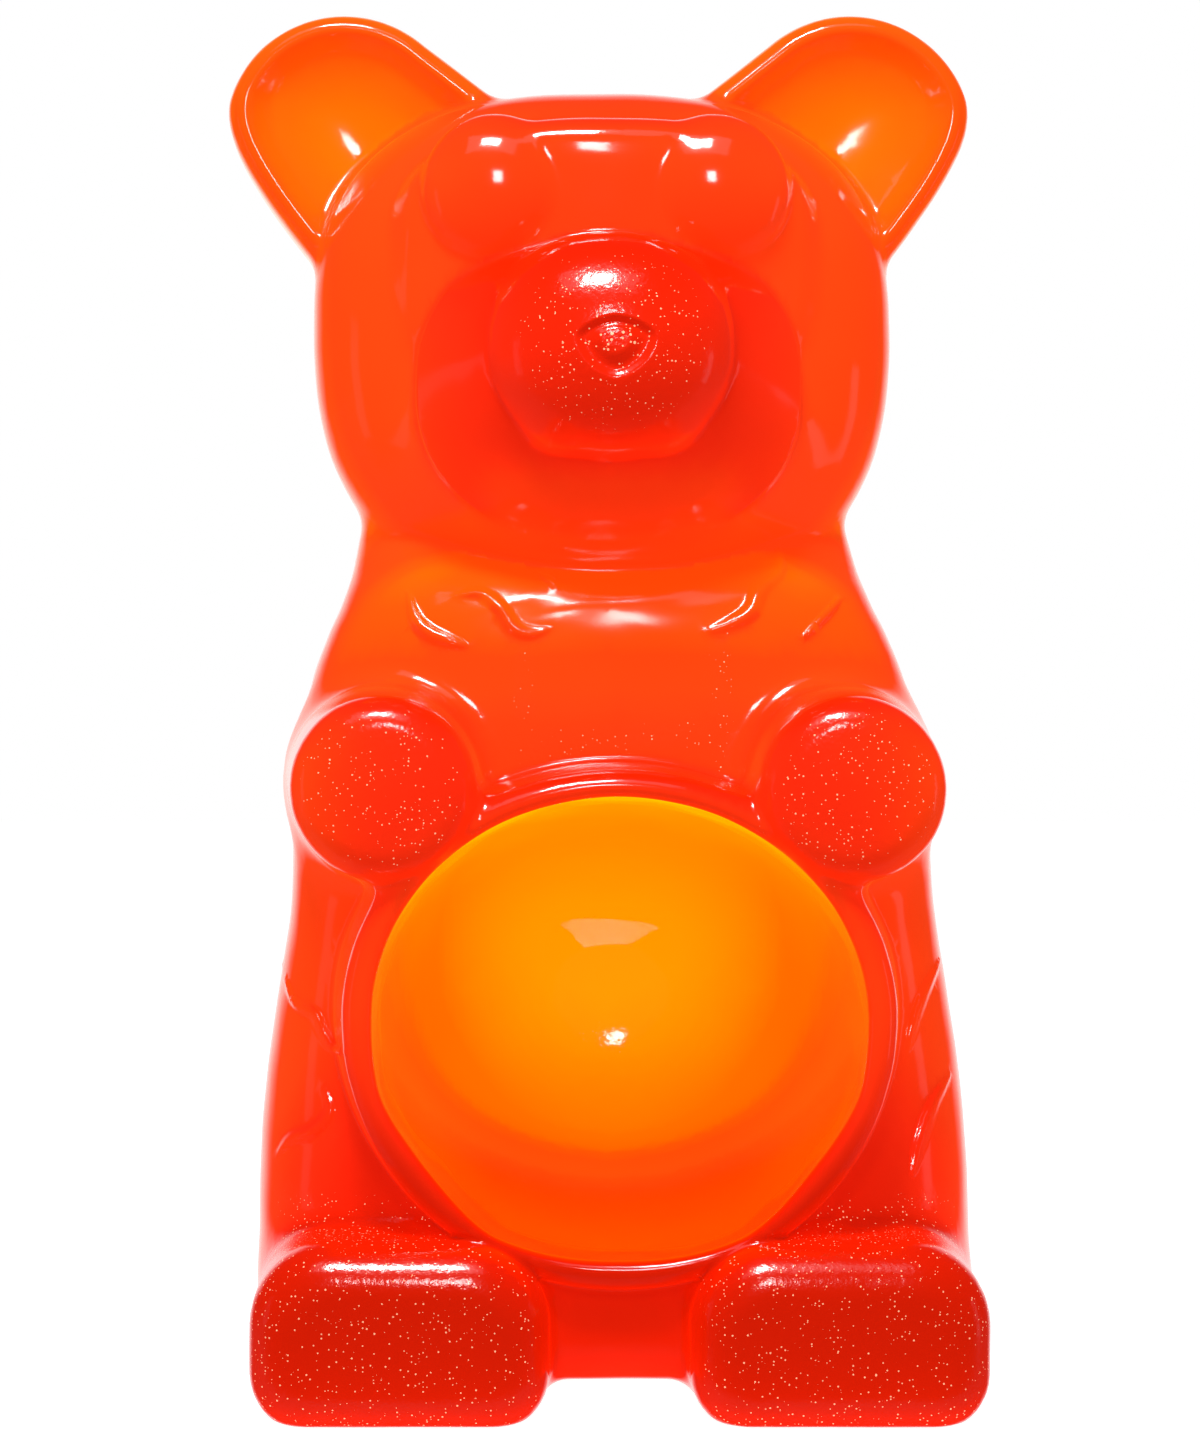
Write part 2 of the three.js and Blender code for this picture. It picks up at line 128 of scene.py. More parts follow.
def leg(x, y, z):
    """A rounded rectangle across, carried from the foot's flat face back into the trunk,
    whose top rises on the way, over a flat sole."""
    share = np.clip((y - LEG_FRONT) / (LEG_BACK - LEG_FRONT), 0, 1)
    top = LEG_TOP + LEG_RISE * share
    half_height = (top + LEG_UNDER) / 2
    right = np.abs(x - LEG_SIDE) - LEG_HALF_WIDTH
    up = np.abs(z - (top - half_height)) - half_height
    corner = np.where(z > top - half_height, LEG_TOP_CORNER, LEG_LOW_CORNER)
    side = round_corner(right, up, corner)
    ends = np.maximum(LEG_FRONT - y, y - LEG_BACK)
    return soft_max(round_corner(side, ends, LEG_EDGE), -z, SOLE_EDGE)


def arm(x, y, z):
    """A cone that narrows towards the paw, with a slightly domed end and a rounded edge."""
    axis = np.subtract(ARM_PAW, ARM_ROOT)
    length = np.sqrt(axis @ axis)
    offset = np.stack([x - ARM_ROOT[0], y - ARM_ROOT[1], z - ARM_ROOT[2]])
    along = axis / length @ offset
    across = np.sqrt(np.maximum((offset**2).sum(0) - along**2, 0))
    radius = ARM_ROOT_RADIUS + (PAW_RADIUS - ARM_ROOT_RADIUS) * np.clip(along / length, 0, 1)
    end = length + PAW_DOME * (1 - (across / radius) ** 2)
    return round_corner(across - radius, np.maximum(along - end, -along), PAW_EDGE)


# The head, with its brow, eyes, muzzle, nose and ears.
# It is moulded with the trunk and hangs a little over the throat. The brow is a raised block,
# the eyes are low domes on it, and the ears are thin lobes whose fronts are dished inside a rim.
HEAD = dict(centre=(0, 12, 332), low=(91.4, 53, 87), high=(91.4, 62, 75), power=2.55)
BROW_MIDDLE, BROW_HALF_WIDTH, BROW_ABOVE, BROW_BELOW, BROW_POWER = 352, 65, 39.5, 52, 2.8
BROW_FRONT, BROW_RIDGE, BROW_SLOPE, BROW_FALL, BROW_TURN = -51, 381, 0.21, 0.06, 3
BROW_BULGE, BROW_BACK, BROW_EDGE = 280, 0, 7
# a gap along y times this is the distance from the leaning face
BROW_FACE_SHARE = 0.93
JAW = dict(centre=(0, -18, 300), low=(56, 42, 45), high=(58, 41, 52), power=2.3)
JAW_TAPER = 0.3
BELL_FRONT, BELL_BACK = -62, -42
# centre height, half width, height above and depth below at the front and at the back
BELL_ENDS = np.array([[320, 36, 30, 30], [310, 58.5, 45, 46]], float)
BELL_POWER, BELL_LEAN, BELL_CAP, BELL_TAIL = 2.4, 0.68, 3, 5
SNOUT = dict(centre=(0, -54, 320.5), low=(37.5, 31, 34.5), high=(37.5, 31, 34.5), power=2.15)
LIP = dict(centre=(13.5, -60, 304), low=(15, 13.5, 16), high=(15, 13.5, 16), power=2)
EYE = dict(centre=(33.2, -39, 370), low=(23, 15, 23), high=(23, 15, 23), power=2)
EAR_TIP, EAR_ROOT = (80, 14, 393), (42, 13, 360)
EAR_TIP_RADIUS, EAR_ROOT_RADIUS, EAR_HALF_DEPTH, EAR_POWER = 39, 42, 21, 4.4
EAR_RIM, EAR_SLOPE, EAR_DISH, EAR_HOLLOW = 5.2, 8, 3.5, 13
EAR_CUT_TURN, EAR_CUT_REACH, EAR_CUT_BLEND = np.radians(32.4), 110.4, 10
# how steeply the hollow's field counts along y, and how far the rim's inner edge is rounded
EAR_FRONT_STEEP, EAR_RIM_EDGE = 1.3, 2.5
NOSE_CENTRE, NOSE_HALF_WIDTH, NOSE_UP, NOSE_DOWN = (0.4, 320.4), 10.8, 5.6, 10.6
NOSE_DEPTH, NOSE_PAD = 1.6, 1.4
NOSE_POWER, NOSE_RADIUS, NOSE_BEVEL, NOSE_PAD_INSET, NOSE_REACH = 1.7, 7, 2.2, 2.8, 12
JAW_BLEND, EAR_BLEND, EYE_BLEND, BROW_BLEND, MUZZLE_BLEND = 14, 4, 2, 4, 2


def egg(x, y, z, centre, low, high, power):
    """An ellipsoid, of that power, whose half axes differ below and above its centre."""
    offsets = [v - c for v, c in zip((x, y, z), centre)]
    radii = [np.where(v < 0, a, b) for v, a, b in zip(offsets, low, high)]
    return super_ellipse([v / r for v, r in zip(offsets, radii)], radii, power)


def jaw(x, y, z):
    """An egg that narrows towards its top."""
    rise = np.clip((z - JAW["centre"][2]) / JAW["high"][2], 0, 1)
    return egg(x / (1 - JAW_TAPER * rise), y, z, **JAW)


def brow(x, y, z):
    """A block with a crisp edge, seen from the front as half ellipses, whose face is bent:
    it leans back above and below a ridge, and across as the square of x."""
    up = z - BROW_MIDDLE
    tall = np.where(up < 0, BROW_BELOW, BROW_ABOVE)
    radii = [np.full_like(x, BROW_HALF_WIDTH), tall]
    side = super_ellipse([x / BROW_HALF_WIDTH, up / tall], radii, BROW_POWER)
    from_ridge = np.hypot(z - BROW_RIDGE, BROW_TURN) - BROW_TURN
    lean = np.where(z > BROW_RIDGE, BROW_SLOPE, BROW_FALL) * from_ridge
    face = BROW_FRONT + lean + x**2 / BROW_BULGE
    return np.maximum(round_corner(side, (face - y) * BROW_FACE_SHARE, BROW_EDGE), y - BROW_BACK)


def bell(x, y, z):
    """The root of the muzzle: a cone whose section widens backwards into the cheeks."""
    t = np.clip((y - BELL_FRONT) / (BELL_BACK - BELL_FRONT), 0, 1)
    middle, half_width, above, under = (a + (b - a) * t for a, b in BELL_ENDS.T)
    up = z - middle
    tall = np.where(up < 0, under, above)
    wall = BELL_LEAN * super_ellipse([x / half_width, up / tall], [half_width, tall], BELL_POWER)
    return soft_max(soft_max(wall, BELL_FRONT - y, BELL_CAP), y - BELL_TAIL, BELL_CAP)


def ear_outline(x, z):
    """Seen from the front, a lobe round the line from the ear's tip to its root, with a
    straight lower edge: the distance from that line, and the lobe's radius there."""
    along = np.array([EAR_ROOT[0] - EAR_TIP[0], EAR_ROOT[2] - EAR_TIP[2]], float)
    right, up = x - EAR_TIP[0], z - EAR_TIP[2]
    t = np.clip((right * along[0] + up * along[1]) / (along @ along), 0, 1)
    reach = np.hypot(right - along[0] * t, up - along[1] * t)
    radius = EAR_TIP_RADIUS + (EAR_ROOT_RADIUS - EAR_TIP_RADIUS) * t
    below = x * np.cos(EAR_CUT_TURN) - z * np.sin(EAR_CUT_TURN) + EAR_CUT_REACH
    return np.maximum(radius + soft_max(reach - radius, below, EAR_CUT_BLEND), 0), radius


def ear(x, y, z):
    """The outline's lobe, rounded to front and back. Its front is cut to a hollow: level at
    the rim, then a slope, then a gentle curve."""
    reach, radius = ear_outline(x, z)
    lobe = super_ellipse([reach / radius, (y - EAR_TIP[1]) / EAR_HALF_DEPTH],
                         [radius, np.full_like(radius, EAR_HALF_DEPTH)], EAR_POWER)
    inward = np.clip((radius - EAR_RIM - reach) / EAR_SLOPE, 0, 1)
    floor = EAR_DISH * inward**2 * (3 - 2 * inward)
    floor += EAR_HOLLOW * np.clip(1 - (reach / radius) ** 2, 0, 1)
    front = EAR_TIP[1] - EAR_HALF_DEPTH
    return soft_max(lobe, (front + floor - y) / EAR_FRONT_STEEP, EAR_RIM_EDGE)


def nose_depth(x, y, z):
    """How deep the nose is pressed in: a rounded triangle that points down, with sloping
    sides and a raised rough pad in its middle."""
    right, up = np.abs(x - NOSE_CENTRE[0]), z - NOSE_CENTRE[1]
    tall = np.where(up < 0, -up / NOSE_DOWN, up / NOSE_UP)
    level = (right / NOSE_HALF_WIDTH) ** NOSE_POWER + tall ** NOSE_POWER
    outline = NOSE_RADIUS * (level ** (1 / NOSE_POWER) - 1)
    pressed = np.clip(0.5 - outline / NOSE_BEVEL, 0, 1)
    pad = np.clip(0.5 - (outline + NOSE_PAD_INSET) / NOSE_BEVEL, 0, 1)
    relief = NOSE_DEPTH * pressed**2 * (3 - 2 * pressed) - NOSE_PAD * pad
    return np.where(y < SNOUT["centre"][1] - NOSE_REACH, relief, 0)


def head(x, y, z):
    """The eggs of the head and face run together, each with its own fillet."""
    d = soft_min(egg(x, y, z, **HEAD), jaw(x, y, z), JAW_BLEND)
    d = soft_min(d, ear(x, y, z), EAR_BLEND)
    d = soft_min(d, soft_min(brow(x, y, z), egg(x, y, z, **EYE), EYE_BLEND), BROW_BLEND)
    snout = soft_min(egg(x, y, z, **SNOUT), egg(x, y, z, **LIP), MUZZLE_BLEND)
    return soft_min(d, soft_min(bell(x, y, z), snout, MUZZLE_BLEND), MUZZLE_BLEND)


# The belly's barrel and the bowl in it.
# The belly stands out as a short barrel with a rounded lip. The mould's plug leaves a deep
# egg-shaped bowl that reaches close to the back, so that the jelly behind it is thin.
BELLY_MIDDLE, BELLY_HALF_WIDTH, BELLY_UPPER, BELLY_LOWER = 119.8, 73.5, 66, 71.4
BELLY_CREST, BELLY_DEPTH = -72, 66
LIP_WIDTH, LIP_EDGE, LIP_OUTER_EDGE, BARREL_DRAFT = 8, 3.6, 5.5, 0.12
# a second barrel, a little smaller, makes the thin step outside the lip
BARREL_INSET, BARREL_SUNK, BARREL_EDGE, BARREL_BLEND, LIP_BLEND = 0.4, 5, 1.0, 1.5, 2
BOWL_DEPTH, BOWL_POWER = 143, 2.4
LOW_POWER, FLAT_REACH, FLAT_TURN, FLAT_BLEND = 2.25, 72.4, np.radians(38.2), 5


def barrel(x, y, z, inset, sunk, edge):
    """A drafted wall round two half ellipses, closed by a flat front with a rounded edge."""
    up = z - BELLY_MIDDLE
    tall = np.where(up < 0, BELLY_LOWER, BELLY_UPPER)
    behind = y - BELLY_CREST
    reach = np.hypot(x, up * BELLY_HALF_WIDTH / tall)
    wall = reach - (BELLY_HALF_WIDTH + LIP_WIDTH - inset) - BARREL_DRAFT * behind
    front = round_corner(wall, sunk - behind, edge)
    return np.maximum(front, behind - BELLY_DEPTH)


def bowl(x, y, z):
    """Half of a long ellipsoid behind the crest and a straight mouth in front of it. The
    lower sides are a little flat: the ellipse's radius is softly cut by a slanted line."""
    up = z - BELLY_MIDDLE
    tall = np.where(up < 0, BELLY_LOWER, BELLY_UPPER)
    reach = np.hypot(x, up) + 1e-6
    power = np.where(up < 0, LOW_POWER, 2)
    level = np.abs(x / BELLY_HALF_WIDTH) ** power + np.abs(up / tall) ** power
    ellipse = reach / (level ** (1 / power) + 1e-9)
    facing = (np.abs(x) * np.cos(FLAT_TURN) - up * np.sin(FLAT_TURN)) / reach
    radius = soft_min(ellipse, FLAT_REACH / np.maximum(facing, 0.2), FLAT_BLEND)
    behind = np.maximum(y - BELLY_CREST, 0)
    radii = [radius, np.full_like(radius, BOWL_DEPTH)]
    return super_ellipse([reach / radius, behind / BOWL_DEPTH], radii, BOWL_POWER)


# The tufts of fur, which are low curled locks that the mould raises on the chest and flanks.
# Each follows a curve across the front, seen from the front as (x, z), and swells from a
# point at either end to its full width and height in the middle.
TUFT_HEIGHT = 1.9
TUFT_STEPS, TUFT_SWELL = 49, 0.6
TUFT_NEAR_X, TUFT_NEAR_Z, TUFT_BACK = 32, 36, 25
# each lock's half width, then the points along it
TUFTS = [
    (3.4, [(-62, 248), (-60, 240), (-56, 235.5), (-50, 233), (-44, 231)]),
    (3.0, [(-48, 246.5), (-40, 247.5), (-34, 243), (-30, 237), (-25, 235), (-19, 236)]),
    (3.6, [(53, 263), (52.5, 255), (46, 249), (42.5, 242), (36, 238), (27, 235)]),
    (1.6, [(74, 249), (66, 241), (56, 231)]),
    (1.8, [(-22, 253.5), (-18, 251), (-17, 248)]),
    (2.6, [(-105, 131), (-100, 121), (-93.5, 118), (-90, 112), (-86.5, 108), (-81, 110)]),
    (2.8, [(-90, 97), (-88, 89), (-93, 83), (-100, 80), (-105, 74)]),
    (2.8, [(103, 134), (96, 124), (92, 115), (90, 107)]),
    (3.2, [(105, 99), (98, 90.5), (93, 80), (90, 70)]),
]


def tuft_height(x, y, z):
    """The tallest lock at (x, z): its height times (1 - (distance / width) squared) squared,
    where the width grows from each end as the sine of the share of the way along."""
    height = np.zeros_like(x)
    for width, points in TUFTS:
        points = np.array(points, float)
        middle = points.mean(0)
        near = (np.abs(x - middle[0]) < TUFT_NEAR_X) & (np.abs(z - middle[1]) < TUFT_NEAR_Z)
        near &= y < TUFT_BACK
        if not near.any():
            continue
        share = np.linspace(0, len(points) - 1, TUFT_STEPS)
        path = station_at(np.column_stack([np.arange(len(points)), points]), share)
        swell = np.sin(np.pi * np.linspace(0.02, 0.98, TUFT_STEPS)) ** TUFT_SWELL
        far = np.hypot(x[near, None] - path[0], z[near, None] - path[1])
        lock = np.clip(1 - (far / (width * swell)) ** 2, 0, 1) ** 2 * swell
        height[near] = np.maximum(height[near], TUFT_HEIGHT * lock.max(1))
    return height


# The casting: one closed skin round all of the fields, of glossy jelly.
# The jelly is poured warm into the mould and sets there, so every edge is a little soft and
# the skin keeps faint ripples. The bear leans: feet and belly sit to one side of the head.
GRID = 3.0
NECK_BLEND = 4
LEAN, TURN = 3.5, 0.02
LEAN_FROM, LEAN_TO = 120, 330
TIP, TIP_FROM = 0.016, 330
RIPPLE, THROAT_RIPPLE = 0.12, 2.6
THROAT_HEIGHT, THROAT_TALL, THROAT_WIDE, THROAT_FRONT = 246, 10, 60, -58
# the folds, in degrees, at which a triangle is split in the first and second round
SPLIT_TURNS = 11, 13


def casting(x, y, z):
    """The whole bear's field: the soft minimum of its parts, cut by the bowl."""
    side = np.abs(x)
    d = soft_min(trunk(side, y, z), head(side, y, z), NECK_BLEND)
    d = soft_min(d, leg(side, y, z), LEG_BLEND)
    d = soft_min(d, barrel(side, y, z, BARREL_INSET, BARREL_SUNK, BARREL_EDGE), BARREL_BLEND)
    d = soft_min(d, arm(side, y, z), ARM_BLEND)
    d = soft_min(d, barrel(side, y, z, 0, 0, LIP_OUTER_EDGE), LIP_BLEND)
    return round_corner(d, -bowl(side, y, z), LIP_EDGE)


def detailed(x, y, z):
    """The casting with its low relief: the nose pressed in, the tufts raised, and ripples as
    products of sines, where each divisor is a wave's length in millimetres over two pi. They
    are stronger at the throat, by a bell curve round its middle."""
    ripple = np.sin(x / 7.1 + z / 11) * np.sin(y / 8.3 - z / 9.7) * np.sin(x / 15 - z / 6.3)
    throat = np.exp(-((z - THROAT_HEIGHT) / THROAT_TALL) ** 2 - (x / THROAT_WIDE) ** 2)
    throat *= (y > THROAT_FRONT) * (y < 0)
    wave = np.sin(x / 5.3 + 2 * np.sin(z / 4.1)) * np.sin(z / 3.1 + np.sin(x / 9))
    ripple += THROAT_RIPPLE * throat * wave
    return casting(x, y, z) + nose_depth(x, y, z) - tuft_height(x, y, z) + RIPPLE * ripple


def surface_net(values, low, step):
    """One vertex in each cell that the zero level crosses, at the mean of the crossings on
    its edges, and one quad across each crossed edge of the grid."""
    inside = values < 0
    cells = [n - 1 for n in values.shape]
    total, count = np.zeros([3] + cells), np.zeros(cells)
    place = np.indices(cells).astype(float)
    crossed = []
    for axis in range(3):
        others = [a for a in range(3) if a != axis]
        lower = np.take(values, range(cells[axis]), axis)
        upper = np.take(values, range(1, cells[axis] + 1), axis)
        cross = (lower < 0) != (upper < 0)
        crossed.append(cross)
        share = np.where(cross, lower / np.where(cross, lower - upper, 1), 0)
        for shift in [(0, 0), (1, 0), (0, 1), (1, 1)]:
            window = [slice(None)] * 3
            for a, s in zip(others, shift):
                window[a] = slice(s, s + cells[a])
            hit = cross[tuple(window)]
            count += hit
            total[axis] += np.where(hit, place[axis] + share[tuple(window)], 0)
            for a, s in zip(others, shift):
                total[a] += np.where(hit, place[a] + s, 0)
    used = count > 0
    number = np.full(cells, -1)
    number[used] = np.arange(used.sum())
    vertices = (total[:, used] / count[used]).T * step + low
    quads = []
    for axis, cross in enumerate(crossed):
        u, v = (axis + 1) % 3, (axis + 2) % 3
        cross = cross.copy()
        for a in (u, v):
            edge = [slice(None)] * 3
            for edge[a] in (0, -1):
                cross[tuple(edge)] = False
        where = np.argwhere(cross)
        ring = []
        for a, b in [(0, 0), (1, 0), (1, 1), (0, 1)]:
            cell = where.copy()
            cell[:, u] -= a
            cell[:, v] -= b
            ring.append(number[tuple(cell.T)])
        ring = np.stack(ring, 1)
        turned = ~inside[tuple(where.T)]
        ring[turned] = ring[turned][:, ::-1]
        quads.append(ring)
    return vertices, np.concatenate(quads)


def settle(field, vertices, reach, steps=3):
    """Newton steps along the field's slope onto its zero level, no further than reach."""
    start, h = vertices.copy(), 0.02
    for _ in range(steps):
        value = field(*vertices.T)
        slope = np.stack([field(*(vertices + h * axis).T) - value for axis in np.eye(3)], 1) / h
        vertices = vertices - (value / ((slope**2).sum(1) + 1e-6))[:, None] * slope
        moved = vertices - start
        far = np.linalg.norm(moved, axis=1, keepdims=True)
        vertices = start + moved * np.minimum(1, reach / (far + 1e-9))
    return vertices


def split(vertices, triangles, sharp):
    """Halves the edges of the triangles that turn from a neighbour by more than sharp. A
    triangle with two or three halved edges becomes four, and one with a single one, two."""
    corners = vertices[triangles]
    normal = np.cross(corners[:, 1] - corners[:, 0], corners[:, 2] - corners[:, 0])
    normal /= np.linalg.norm(normal, axis=1, keepdims=True) + 1e-12
    edges = np.sort(np.stack([triangles, np.roll(triangles, -1, 1)], 2), 2)
    keys, number = np.unique(edges.reshape(-1, 2), axis=0, return_inverse=True)
    number = number.reshape(-1, 3)
    faces = np.repeat(np.arange(len(triangles)), 3)
    order = np.argsort(number.ravel(), kind="stable")
    pair = faces[order].reshape(-1, 2)
    bent = (normal[pair[:, 0]] * normal[pair[:, 1]]).sum(1) < np.cos(sharp)
    halved = np.zeros(len(keys), bool)
    halved[number[np.unique(pair[bent])].ravel()] = True
    while True:
        several = (halved[number].sum(1) >= 2) & ~halved[number].all(1)
        if not several.any():
            break
        halved[number[several].ravel()] = True
    new = np.full(len(keys), -1)
    new[halved] = len(vertices) + np.arange(halved.sum())
    vertices = np.concatenate([vertices, vertices[keys[halved]].mean(1)])
    middle, marks = new[number], halved[number]
    whole = marks.all(1)
    one = marks.sum(1) == 1
    a, b, c = triangles[whole].T
    ab, bc, ca = middle[whole].T
    parts = [triangles[~whole & ~one]]
    parts += [np.stack(t, 1) for t in [(a, ab, ca), (ab, b, bc), (ca, bc, c), (ab, bc, ca)]]
    first = marks[one].argmax(1)
    turned = np.take_along_axis(triangles[one], (first[:, None] + np.arange(3)) % 3, 1)
    half = np.take_along_axis(middle[one], first[:, None], 1)[:, 0]
    a, b, c = turned.T
    parts += [np.stack(t, 1) for t in [(a, half, c), (half, b, c)]]
    return vertices, np.concatenate(parts)


low = np.array([-126.0, -96, -10])
high = np.array([126.0, 100, 442])
axes = [np.arange(a, b, GRID) for a, b in zip(low, high)]
grid = np.meshgrid(*axes, indexing="ij")
values = casting(*[g.ravel() for g in grid]).reshape(grid[0].shape)
vertices, quads = surface_net(values, low, GRID)
vertices = settle(casting, vertices, GRID / 2)
# each quad is cut along its shorter diagonal
corners = vertices[quads]
first = (np.linalg.norm(corners[:, 0] - corners[:, 2], axis=1)
         < np.linalg.norm(corners[:, 1] - corners[:, 3], axis=1))
a, b, c, d = quads.T
triangles = np.concatenate([
    np.stack([a, b, np.where(first, c, d)], 1),
    np.stack([np.where(first, a, b), c, d], 1),
])
vertices = settle(detailed, vertices, GRID / 2)
for turn in SPLIT_TURNS:
    vertices, triangles = split(vertices, triangles, np.radians(turn))
    vertices = settle(detailed, vertices, GRID / 2)

# The jelly's colour. Jelly colours the light that passes through it, so a thin part such as
# an ear or the wall behind the bowl glows yellow-orange, and a thick one such as a foot is
# deep red. The way through is measured, and then, in millimetres of jelly, places get more or
# less: painted shade on skin facing up, on the lower body, the feet and the crown, painted light
# on the chest and the neck's sides, a profile in the bowl that is partly painted light, and
# more jelly on the ears, the muzzle and the sideways-facing sides.
FULL_DEPTH = 205
RAY_STRIDE, RAY_REACH = 3.0, 210
FAN_ASIDE, FAN_RISE = (-12, 0, 12), (-8, 0, 8)
RELAX_ROUNDS = 4
LOW_SHADE_DEPTH, LOW_FROM, LOW_TO = 36, 60, 130
UP_SHADE_DEPTH, UP_SHADE_POWER = 60, 1.5
NECK_LIGHT_DEPTH, NECK_HEIGHT, NECK_TALL, NECK_SIDE = -8, 262, 16, (36, 62)
CHEST_SHEEN_DEPTH, CHEST_FOOT, CHEST_TOP, CHEST_BACK, CHEST_FRONT = 46, (208, 236), (260, 264), (10, 25), -58
BOWL_BRIGHT, BOWL_BRIGHT_UP, BOWL_FADE, BOWL_FADE_REACH = 10, 12, 22, 50
BOWL_SIDE, BOWL_SIDE_STEEP, BOWL_MARGIN, BOWL_START = 0.0028, 9e-7, 2.5, 12
BOWL_LOW_DEPTH, BOWL_LOW, BOWL_LOW_SIDE = 190, (56, 80), 0.9
EAR_DEPTH, EAR_RIM_DEPTH, EAR_RIM_WIDTH, EAR_RIM_FADE = 10, 7, 7, 4
MUZZLE_DEPTH, BELL_DEPTH, FOOT_SHADE_DEPTH, FOOT_MARGIN, FOOT_BACK = 14, 28, 46, 2.5, 40
CROWN_SHADE_DEPTH, CROWN = 22, (390, 402)
SIDE_DEPTH, SIDE_TURN, SIDE_FADE = 42, 0.5, 0.3


def smooth_step(v, low, high):
    """Rises from nought at low to one at high, as three squared shares less two cubed."""
    t = np.clip((v - low) / (high - low), 0, 1)
    return t * t * (3 - 2 * t)


def vertex_normals(vertices, triangles):
    """The mean of the normals of the triangles round each vertex, by area."""
    corners = vertices[triangles]
    face = np.cross(corners[:, 1] - corners[:, 0], corners[:, 2] - corners[:, 0])
    normals = np.zeros_like(vertices)
    for n in range(3):
        for axis in range(3):
            normals[:, axis] += np.bincount(triangles[:, n], face[:, axis], len(vertices))
    return normals / (np.linalg.norm(normals, axis=1, keepdims=True) + 1e-12)


def way_through(vertices, normals, values, low, step):
    """How much jelly lies behind each vertex, in millimetres: the mean over a fan of
    directions to the back, or to the front for the back's own skin, of the length inside,
    weighted by the cosine of the angle at which the direction enters."""
    solid = np.clip(0.5 - values / step, 0, 1).astype(np.float32)
    solid[:, :, :int(-low[2] / step) + 1] = 1
    top = np.array(values.shape) - 1
    total, weight = np.zeros(len(vertices)), np.full(len(vertices), 1e-6)
    fan = [(s, np.radians(a), np.radians(r)) for s in (1, -1) for a in FAN_ASIDE for r in FAN_RISE]
    for sign, aside, rise in fan:
        across, along = np.sin(aside) * np.cos(rise), np.cos(aside) * np.cos(rise)
        ray = sign * np.array([across, along, np.sin(rise)])
        cosine = -(normals @ ray)
        facing = cosine > 0
        start = (vertices[facing] - low) / step
        length = np.zeros(facing.sum(), np.float32)
        for far in np.arange(RAY_STRIDE / 2, RAY_REACH, RAY_STRIDE):
            cell = np.clip(np.rint(start + ray * far / step).astype(int), 0, top)
            length += solid[cell[:, 0], cell[:, 1], cell[:, 2]] * RAY_STRIDE
        total[facing] += cosine[facing] * length
        weight[facing] += cosine[facing]
    return total / weight


def relaxed(values, triangles, rounds):
    """Each vertex's value replaced, time and again, by the mean over its triangles."""
    for _ in range(rounds):
        mean = values[triangles].mean(1)
        total = sum(np.bincount(triangles[:, n], mean, len(values)) for n in range(3))
        values = total / sum(np.bincount(triangles[:, n], minlength=len(values)) for n in range(3))
    return values


def on_skin(field, margin=2.0):
    """One on a part's own skin, falling to nought at that margin outside it."""
    return smooth_step(margin - field, 0, margin)


x, y, up = vertices.T.copy()
side = np.abs(x)
at = (side, y, up)
normals = vertex_normals(vertices, triangles)
depth_light_and_shade = way_through(vertices, normals, values, low, GRID)

in_bowl = on_skin(bowl(*at), BOWL_MARGIN)
in_bowl *= smooth_step(y, BELLY_CREST, BELLY_CREST + BOWL_START)
reach, radius = ear_outline(side, up)
at_ear = on_skin(ear(*at)) * smooth_step(egg(*at, **HEAD), 0, 2)
# where the chest's painted sheen goes: from its foot to its top, in front, on skin that doesn't face
# down
chest_sheen = smooth_step(up, *CHEST_FOOT) * (1 - smooth_step(up, *CHEST_TOP))
chest_sheen *= smooth_step(-y, *CHEST_BACK) * smooth_step(normals[:, 2], -0.3, 0) * (y > CHEST_FRONT)
elsewhere = (1 - at_ear) * (1 - in_bowl)

# painted sheen: on the chest the jelly is counted no deeper than a set depth, so it is lighter
depth_light_and_shade += chest_sheen * np.minimum(CHEST_SHEEN_DEPTH - depth_light_and_shade, 0)
# painted shade: the lower body is darker, down towards the floor
depth_light_and_shade += LOW_SHADE_DEPTH * (1 - smooth_step(up, LOW_FROM, LOW_TO))
# painted light: the neck's sides are lighter, by less jelly, round the neck's height
depth_light_and_shade += NECK_LIGHT_DEPTH * np.exp(-((up - NECK_HEIGHT) / NECK_TALL) ** 2) * smooth_step(side, *NECK_SIDE)
# the bowl's colour is a given profile in place of the measured way through: lightest a little
# above its middle, partly because the wall is thinnest there and partly as painted light from
# above; away from there it darkens, more steeply to the sides and towards the bottom, where the
# jelly thickens
from_bright = up - BELLY_MIDDLE - BOWL_BRIGHT_UP
bowl_depth_and_light = BOWL_BRIGHT + BOWL_FADE * (1 - np.exp(-((from_bright / BOWL_FADE_REACH) ** 2)))
bowl_depth_and_light += BOWL_SIDE * side**2 + BOWL_SIDE_STEEP * side**4
low_down = np.hypot(np.minimum(from_bright, 0), BOWL_LOW_SIDE * side)
bowl_depth_and_light += BOWL_LOW_DEPTH * smooth_step(low_down, *BOWL_LOW) ** 2
depth_light_and_shade += in_bowl * (bowl_depth_and_light - depth_light_and_shade)
rim = smooth_step(EAR_RIM_WIDTH - (radius - reach), 0, EAR_RIM_FADE)
depth_light_and_shade += at_ear * (EAR_DEPTH + EAR_RIM_DEPTH * rim)
# painted shade: skin is darker the more it faces up, except on the ears, in the bowl and on the chest
depth_light_and_shade += UP_SHADE_DEPTH * elsewhere * (1 - chest_sheen) * np.maximum(normals[:, 2], 0) ** UP_SHADE_POWER
depth_light_and_shade += MUZZLE_DEPTH * on_skin(egg(*at, **SNOUT)) + BELL_DEPTH * on_skin(bell(*at))
# painted shade: the legs and feet, down by the floor, are darker
depth_light_and_shade += FOOT_SHADE_DEPTH * on_skin(leg(*at), FOOT_MARGIN) * (y < FOOT_BACK)
